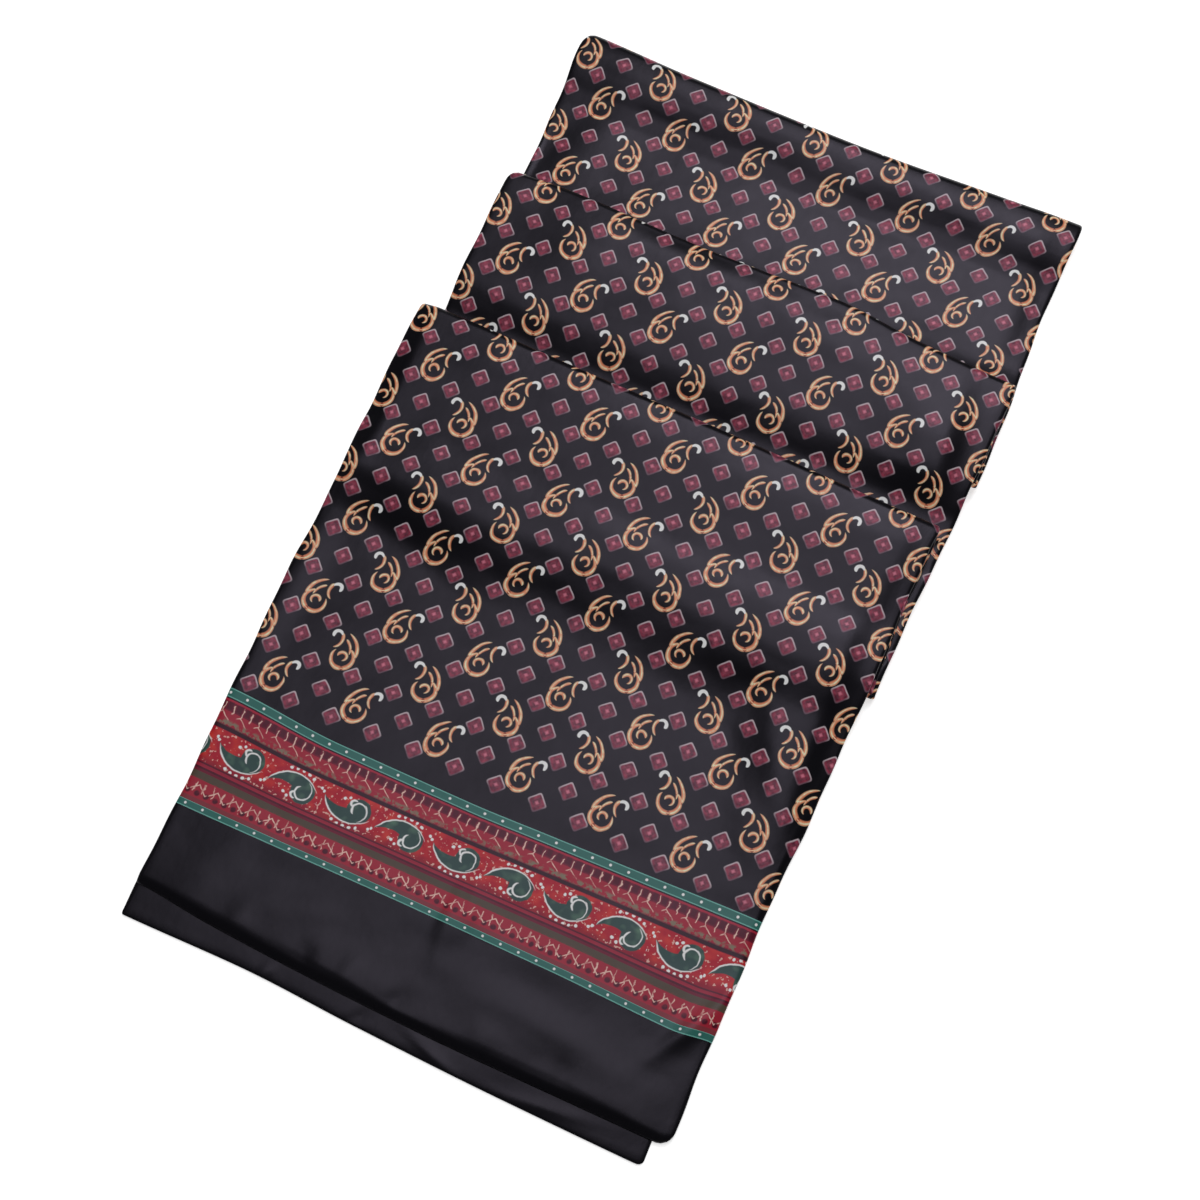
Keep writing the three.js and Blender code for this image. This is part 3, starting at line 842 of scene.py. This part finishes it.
def new_group(name, inputs, outputs):
    """A node group with named inputs and outputs. Gives it, its inputs and its outputs' sockets."""
    tree = bpy.data.node_groups.new(name, "ShaderNodeTree")
    for word, value in inputs.items():
        socket = tree.interface.new_socket(word, in_out="INPUT", socket_type="NodeSocketFloat")
        socket.default_value = value
    for word, kind in outputs.items():
        tree.interface.new_socket(word, in_out="OUTPUT", socket_type=kind)
    given, result = tree.nodes.new("NodeGroupInput"), tree.nodes.new("NodeGroupOutput")
    return tree, {word: Number(tree, given.outputs[word]) for word in inputs}, result.inputs


def use_group(tree, group, values):
    node = tree.nodes.new("ShaderNodeGroup")
    node.node_tree = group
    for word, value in values.items():
        if isinstance(value, Number):
            tree.links.new(value.socket, node.inputs[word])
        else:
            node.inputs[word].default_value = value
    return node.outputs


def soft_noise(tree, x, y, size, detail=1.0):
    """Smooth unevenness about 0, of a size in millimetres."""
    place = tree.nodes.new("ShaderNodeCombineXYZ")
    tree.links.new(x.socket, place.inputs[0])
    tree.links.new(y.socket, place.inputs[1])
    noise = tree.nodes.new("ShaderNodeTexNoise")
    noise.inputs["Scale"].default_value = 1 / size
    noise.inputs["Detail"].default_value = detail
    tree.links.new(place.outputs[0], noise.inputs["Vector"])
    return Number(tree, noise.outputs["Fac"]) - 0.5


FLOAT, COLOUR = "NodeSocketFloat", "NodeSocketColor"


def ink_stroke_group():
    """One brush stroke along part of a circle, thickest where it is told to be."""
    inputs = {"Across": 0, "Up": 0, "Centre Across": 0, "Centre Up": 0, "Radius": 5, "Middle": 0,
              "Half Span": 1, "Start Width": 1, "End Width": 1}
    tree, given, result = new_group("ink stroke", inputs, {"Ink": FLOAT, "Side": FLOAT})
    dx, dy = given["Across"] - given["Centre Across"], given["Up"] - given["Centre Up"]
    off = (dx * dx + dy * dy) ** 0.5 - given["Radius"]
    turn = (dy.made("ARCTAN2", dx) - given["Middle"]).made("WRAP", math.pi, -math.pi)
    part = turn.made("DIVIDE", given["Half Span"])
    rate = part * 0.5 + 0.5
    width = given["Start Width"] + rate * (given["End Width"] - given["Start Width"])
    width = width * (abs(part) ** 6).less_from(1)
    stroke = abs(off).below(width * 0.5, 0.4) * abs(part).below(1.02, 0.04)
    tree.links.new(stroke.socket, result["Ink"])
    tree.links.new((off.made("DIVIDE", width + 0.2)).socket, result["Side"])
    return tree


def draw_strokes(tree, group, strokes, x, y):
    """The ink of several strokes, and which side of its stroke a place lies on."""
    inks, sides = [], None
    for stroke in strokes:
        start, stop = (math.radians(angle) for angle in stroke["turn"])
        out = use_group(tree, group, {
            "Across": x, "Up": y, "Centre Across": stroke["centre"][0],
            "Centre Up": stroke["centre"][1], "Radius": stroke["radius"],
            "Middle": (start + stop) / 2, "Half Span": (stop - start) / 2,
            "Start Width": stroke["widths"][0], "End Width": stroke["widths"][1]})
        one, side = Number(tree, out["Ink"]), Number(tree, out["Side"])
        inks.append(one)
        sides = one * side if sides is None else sides + one * side
    return either(*inks), sides


def ground_group(stroke):
    """The ground's small repeat: squares on the slant, with paisley curls between them."""
    tree, given, result = new_group("ground print", {"Across": 0, "Up": 0},
                                    {"Colour": COLOUR, "Ink": FLOAT})
    x, y = given["Across"], given["Up"]
    x = x + soft_noise(tree, x, y, STRAY["size"]) * STRAY["shift"]
    y = y + soft_noise(tree, x + 60, y, STRAY["size"]) * STRAY["shift"]
    across, up = x * (4 / REPEAT_ACROSS), y * (4 / REPEAT_ALONG)
    first, second = (across + up) * 0.5, (across - up) * 0.5
    curl_here = abs(first.repeat(2)).below(0.5, 0.01) * abs(second.repeat(2)).below(0.5, 0.01)
    a, b = first.repeat(1), second.repeat(1)
    corners = SQUARE["corners"]
    reach = (abs(a) ** corners + abs(b) ** corners) ** (1 / corners)
    square = reach.below(SQUARE["half"], 0.03) * curl_here.less_from(1)
    square = square * y.below(FIRST_SQUARES, 0.1).less_from(1)
    inner = reach.below(SQUARE["half"] - SQUARE["line"], 0.04)
    # Painted light and shade: the squares' printed outline is drawn lighter on its two sides toward
    # the far end of the cloth, where the lamps are, and dim on the two toward its front end.
    painted_light_side = (a - b) * 1.6 + 0.5
    patch = soft_noise(tree, x, y, 2.6, 2) + 0.5
    line = paint(INK["square line, dim"], painted_light_side.below(0.5, 0.6).less_from(1), INK["square line"])
    fill = paint(INK["square"], (patch - 0.34) * 2.6, INK["square, bright"])
    fill = paint(fill, reach.below(SQUARE["speck"], 0.05) * 0.8, INK["speck"])
    ring = abs(reach - SQUARE["ring"]).below(0.02, 0.04)
    fill = paint(fill, ring * 0.3, INK["square line, dim"])
    colour = paint(INK["ground"], square, paint(line, inner, fill))

    # Each place belongs to the nearest curl, and each second row of curls is mirrored.
    near = abs(x.repeat(REPEAT_ACROSS)) * (2 / REPEAT_ACROSS)
    near = near + abs(y.repeat(REPEAT_ALONG)) * (2 / REPEAT_ALONG)
    own = near.below(1, 0.001)
    other = own.less_from(1)
    px = x.repeat(REPEAT_ACROSS) * own - (x + REPEAT_ACROSS / 2).repeat(REPEAT_ACROSS) * other
    py = y.repeat(REPEAT_ALONG) * own + (y + REPEAT_ALONG / 2).repeat(REPEAT_ALONG) * other
    px, py = px + CURL_SHIFT[0], py + CURL_SHIFT[1]
    copper, side = draw_strokes(tree, stroke, CURL_STROKES, px, py)
    hook, _ = draw_strokes(tree, stroke, HOOK_STROKES, px, py)
    copper_ink = paint(INK["copper shade"], abs(side - 0.04).below(0.4, 0.22), INK["copper"])
    core = abs(side - 0.1).below(0.14, 0.24) * (patch * 2.8 - 0.6)
    copper_ink = paint(copper_ink, core, INK["copper light"])
    whole = y.below(FIRST_CURLS, 0.1).less_from(1)
    copper, hook = copper * whole, hook * whole
    colour = paint(colour, copper, copper_ink)
    colour = paint(colour, hook, INK["cream"])
    tree.links.new(colour, result["Colour"])
    tree.links.new(either(square, copper, hook).socket, result["Ink"])
    return tree


def border_group(stroke):
    """The border: stripes, a row of leaves that turn over one by one, ticks, boxes and dots."""
    tree, given, result = new_group("border print", {"Across": 0, "Down": 0}, {"Colour": COLOUR})
    x, down = given["Across"], given["Down"]
    worn = soft_noise(tree, x, down, 3.2, 2)
    wavy = down + worn * 0.7
    ramp = tree.nodes.new("ShaderNodeValToRGB")
    ramp.color_ramp.interpolation = "CONSTANT"
    stops = ramp.color_ramp.elements
    while len(stops) > 1:
        stops.remove(stops[-1])
    for i, (start, name) in enumerate(BORDER_STRIPES):
        stop = stops[0] if i == 0 else stops.new(start / STRIPES_END)
        stop.position, stop.color = start / STRIPES_END, INK[name]
    tree.links.new(((down + 1) * (1 / STRIPES_END)).socket, ramp.inputs[0])
    colour = ramp.outputs[0]
    x_worn = x + soft_noise(tree, x + 40, down, 4, 1) * 1.4

    dots = off_point(x.repeat(DOT_GAP), down, (0, DOT_ROWS[0])).below(0.72, 0.3)
    low_dots = off_point((x + 3).repeat(DOT_GAP), down, (0, DOT_ROWS[1])).below(0.66, 0.3)
    dots = either(dots, low_dots)
    colour = paint(colour, dots, INK["white dot"])

    ticks = x_worn.repeat(TICK_GAP)
    boxes = abs(ticks).below(1.1, 0.7).less_from(0.85) * wavy.between(6.6, 10.7, 0.8)
    colour = paint(colour, boxes, INK["dark maroon"])
    tick = abs(ticks + worn * 2.4).below(0.3, 0.3) * (wavy + worn * 5).between(7.6, 12.6, 0.6)
    branch = abs(wavy - 14.2 - x_worn.zigzag(BRANCH_GAP, 1.9)).below(0.3, 0.35)
    branch = branch * abs(x_worn.repeat(BRANCH_GAP) - 1.6).below(3.4, 0.8)
    colour = paint(colour, either(tick, branch) * 0.95, INK["light pink"])
    specks = (soft_noise(tree, x, down, 2.6, 2) + 0.5).below(0.5, 0.08)
    colour = paint(colour, specks * wavy.between(15.8, 18.4, 1.2) * 0.8, INK["grey green"])
    colour = paint(colour, (worn * 3 + 0.2) * down.between(11.4, 18.2, 1.5), INK["pink red, deep"])

    low_ticks = (x_worn + 1.4).repeat(TICK_GAP)
    blots = off_point(low_ticks, wavy, (0, 55.6)).below(1.45, 0.7)
    colour = paint(colour, blots, INK["dark maroon"])
    low_tick = abs((x_worn + 4).repeat(TICK_GAP) + worn * 3).below(0.3, 0.3)
    low_tick = low_tick * (wavy + worn * 4).between(50, 55.6, 0.6)
    low_branch = abs(wavy - 53.4 - (x_worn + 2).zigzag(BRANCH_GAP, 2.2)).below(0.36, 0.3)
    low_branch = low_branch * abs((x_worn + 1).repeat(BRANCH_GAP)).below(4.8, 0.6)
    colour = paint(colour, either(low_tick, low_branch) * 0.95, INK["light pink"])
    colour = paint(colour, (worn * 3 + 0.2) * down.between(48.6, 55, 2), INK["pink red, deep"])

    # The row of leaves. Each second one is turned over.
    half = LEAF["period"] / 2
    over = abs((x - LEAF["place"]).repeat(LEAF["period"])).below(half / 2, 0.01) * 2 - 1
    lx = (x_worn - LEAF["place"]).repeat(half) * (1 / LEAF["scale"])
    ly = (wavy - LEAF["middle"]) * over * (-1 / LEAF["scale"])
    band = down.between(LEAF["middle"] - 9.3, LEAF["middle"] + 9.3, 0.3)
    glow = soft_noise(tree, x, down, 6, 1) * 3 + 0.25
    colour = paint(colour, glow * band * 0.8, INK["orange red"])
    colour = paint(colour, down.between(37.4, 42, 3) * 0.55, INK["maroon"])
    fleck = (soft_noise(tree, x, down, 1.9, 1) + 0.5).below(0.36, 0.04)
    colour = paint(colour, fleck * band * 0.7, INK["light pink"])
    arch = off_point(lx, ly, (1, -7.5))
    hollow = off_point(lx, ly, (-4, -12.5))
    bulb = off_point(lx, ly, (5.4, -1.3)).below(5.6, 0.4)
    wing = hollow.below(12.5, 0.4).less_from(1) * lx.below(8, 0.5) * ly.below(-3, 0.5).less_from(1)
    leaf = arch.below(13.5, 0.4) * either(bulb, wing) * band
    colour = paint(colour, leaf, INK["leaf"])
    colour = paint(colour, leaf * (glow - 0.3), INK["leaf, light"])
    curl, side = draw_strokes(tree, stroke, LEAF_STROKES, lx, ly)
    colour = paint(colour, curl * band, INK["leaf line"])
    beads = off_point(arch - 15.3, (ly + 7.5).made("ARCTAN2", lx - 1).repeat(0.19) * 15, (0, 0))
    beads = beads.below(0.72, 0.3) * abs(lx - 1.5).below(6.8, 0.3) * ly.below(0, 0.3).less_from(1)
    for at in LEAF_DOTS:
        beads = either(beads, off_point(lx, ly, at).below(0.7, 0.3))
    colour = paint(colour, beads * band, INK["white dot"])
    tree.links.new(colour, result["Colour"])
    return tree


def weave_group():
    """Soft satin: slow waves in how it shines, and a very fine unevenness in its surface."""
    tree, given, result = new_group("satin weave", {"Across": 0, "Up": 0},
                                    {"Bump Height": FLOAT, "Roughness": FLOAT})
    x, y = given["Across"], given["Up"]
    slow = soft_noise(tree, x * 0.7, y, WEAVE["slow"], 1)
    fine = soft_noise(tree, x, y * 0.6, WEAVE["fine"], 2)
    height = slow + fine * WEAVE["fine_height"]
    dullness = fine * WEAVE["fine_dull"] + slow * WEAVE["slow_dull"] + SATIN["roughness"]
    tree.links.new(height.socket, result["Bump Height"])
    tree.links.new(dullness.socket, result["Roughness"])
    return tree


def silk(name, weave, print_group=None, downward=False):
    """A silk material, plain or with one of the prints."""
    material = bpy.data.materials.new(name)
    material.use_nodes = True
    tree = material.node_tree
    shade = tree.nodes["Principled BSDF"]
    place = tree.nodes.new("ShaderNodeUVMap")
    place.uv_map = "cloth"
    split = tree.nodes.new("ShaderNodeSeparateXYZ")
    tree.links.new(place.outputs[0], split.inputs[0])
    across, up = Number(tree, split.outputs[0]), Number(tree, split.outputs[1])
    satin = use_group(tree, weave, {"Across": across, "Up": up})
    bump = tree.nodes.new("ShaderNodeBump")
    bump.inputs["Distance"].default_value = SATIN["bump"] * MM
    bump.inputs["Strength"].default_value = 1
    tree.links.new(satin["Bump Height"], bump.inputs["Height"])
    tree.links.new(bump.outputs[0], shade.inputs["Normal"])
    tree.links.new(satin["Roughness"], shade.inputs["Roughness"])
    shade.inputs["Specular IOR Level"].default_value = SATIN["specular"]
    shade.inputs["Specular Tint"].default_value = (*SATIN_TINT, 1)
    shade.inputs["Base Color"].default_value = INK["ground"]
    if print_group is not None:
        places = {"Across": across, "Down": up * -1} if downward else {"Across": across, "Up": up}
        printed = use_group(tree, print_group, places)
        tree.links.new(printed["Colour"], shade.inputs["Base Color"])
    return material


def white_table():
    material = bpy.data.materials.new("white table")
    material.use_nodes = True
    shade = material.node_tree.nodes["Principled BSDF"]
    shade.inputs["Base Color"].default_value = (TABLE["grey"],) * 3 + (1,)
    shade.inputs["Roughness"].default_value = TABLE["roughness"]
    shade.inputs["Emission Color"].default_value = WHITE
    shade.inputs["Emission Strength"].default_value = TABLE["glow"]
    return material


def camera():
    turn, tilt = math.radians(CAMERA["turn"]), math.radians(CAMERA["tilt"])
    back = Vector((math.sin(turn) * math.sin(tilt), -math.cos(turn) * math.sin(tilt),
                   math.cos(tilt)))
    eye = bpy.data.objects.new("camera", bpy.data.cameras.new("camera"))
    eye.data.lens = CAMERA["lens"]
    eye.data.sensor_width = CAMERA["film"]
    aim = Vector((AIM["across"] * MM, AIM["up_table"] * MM, 0))
    eye.location = aim + back * CAMERA["distance"] * MM
    eye.rotation_euler = (-back).to_track_quat("-Z", "Y").to_euler()
    bpy.context.scene.collection.objects.link(eye)
    bpy.context.scene.camera = eye


camera()
weave, brush = weave_group(), ink_stroke_group()
plain = silk("plain silk", weave)
red = silk("border silk", weave, border_group(brush), downward=True)
ground = silk("printed silk", weave, ground_group(brush))

front_cloth, front_skin = front_piece([plain, red, ground])
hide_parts("front_stretch")

middle_cloth, middle_skin = step_piece(
    "middle_cloth", MIDDLE_STEP, (middle_height, level(MIDDLE_RETURN)), MIDDLE_CREASES,
    PRINT_PLACES["middle"], [ground])
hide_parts("middle_stretch")

back_cloth, back_skin = step_piece(
    "back_cloth", BACK_STEP, (back_height, one_level(BACK_UNDER_LEVEL)), BACK_CREASES,
    PRINT_PLACES["back"], [ground])
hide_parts("back_stretch")

lower_cloth, lower_skin = lower_piece([plain, red, ground])
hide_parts("under_stretch", "hidden_layers")

for piece in (front_cloth, middle_cloth, back_cloth, lower_cloth):
    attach(piece, "root")

bpy.ops.mesh.primitive_plane_add(size=TABLE["size"], location=(0, 0, TABLE["top"]))
floor = bpy.context.object
floor.name = "floor"
floor.data.materials.append(white_table())

world = bpy.data.worlds.new("soft room")
world.use_nodes = True
world.node_tree.nodes["Background"].inputs["Color"].default_value = WHITE
world.node_tree.nodes["Background"].inputs["Strength"].default_value = ROOM_LIGHT
bpy.context.scene.world = world


def soft_light(name, place, size, power):
    lamp = bpy.data.lights.new(name, "AREA")
    lamp.shape, lamp.size, lamp.size_y, lamp.energy = "RECTANGLE", size[0], size[1], power
    light = bpy.data.objects.new(name, lamp)
    light.location = place
    light.rotation_euler = (-Vector(place)).to_track_quat("-Z", "Y").to_euler()
    bpy.context.scene.collection.objects.link(light)


for light in LAMPS:
    soft_light(**light)
bpy.context.scene.view_settings.view_transform = "Standard"
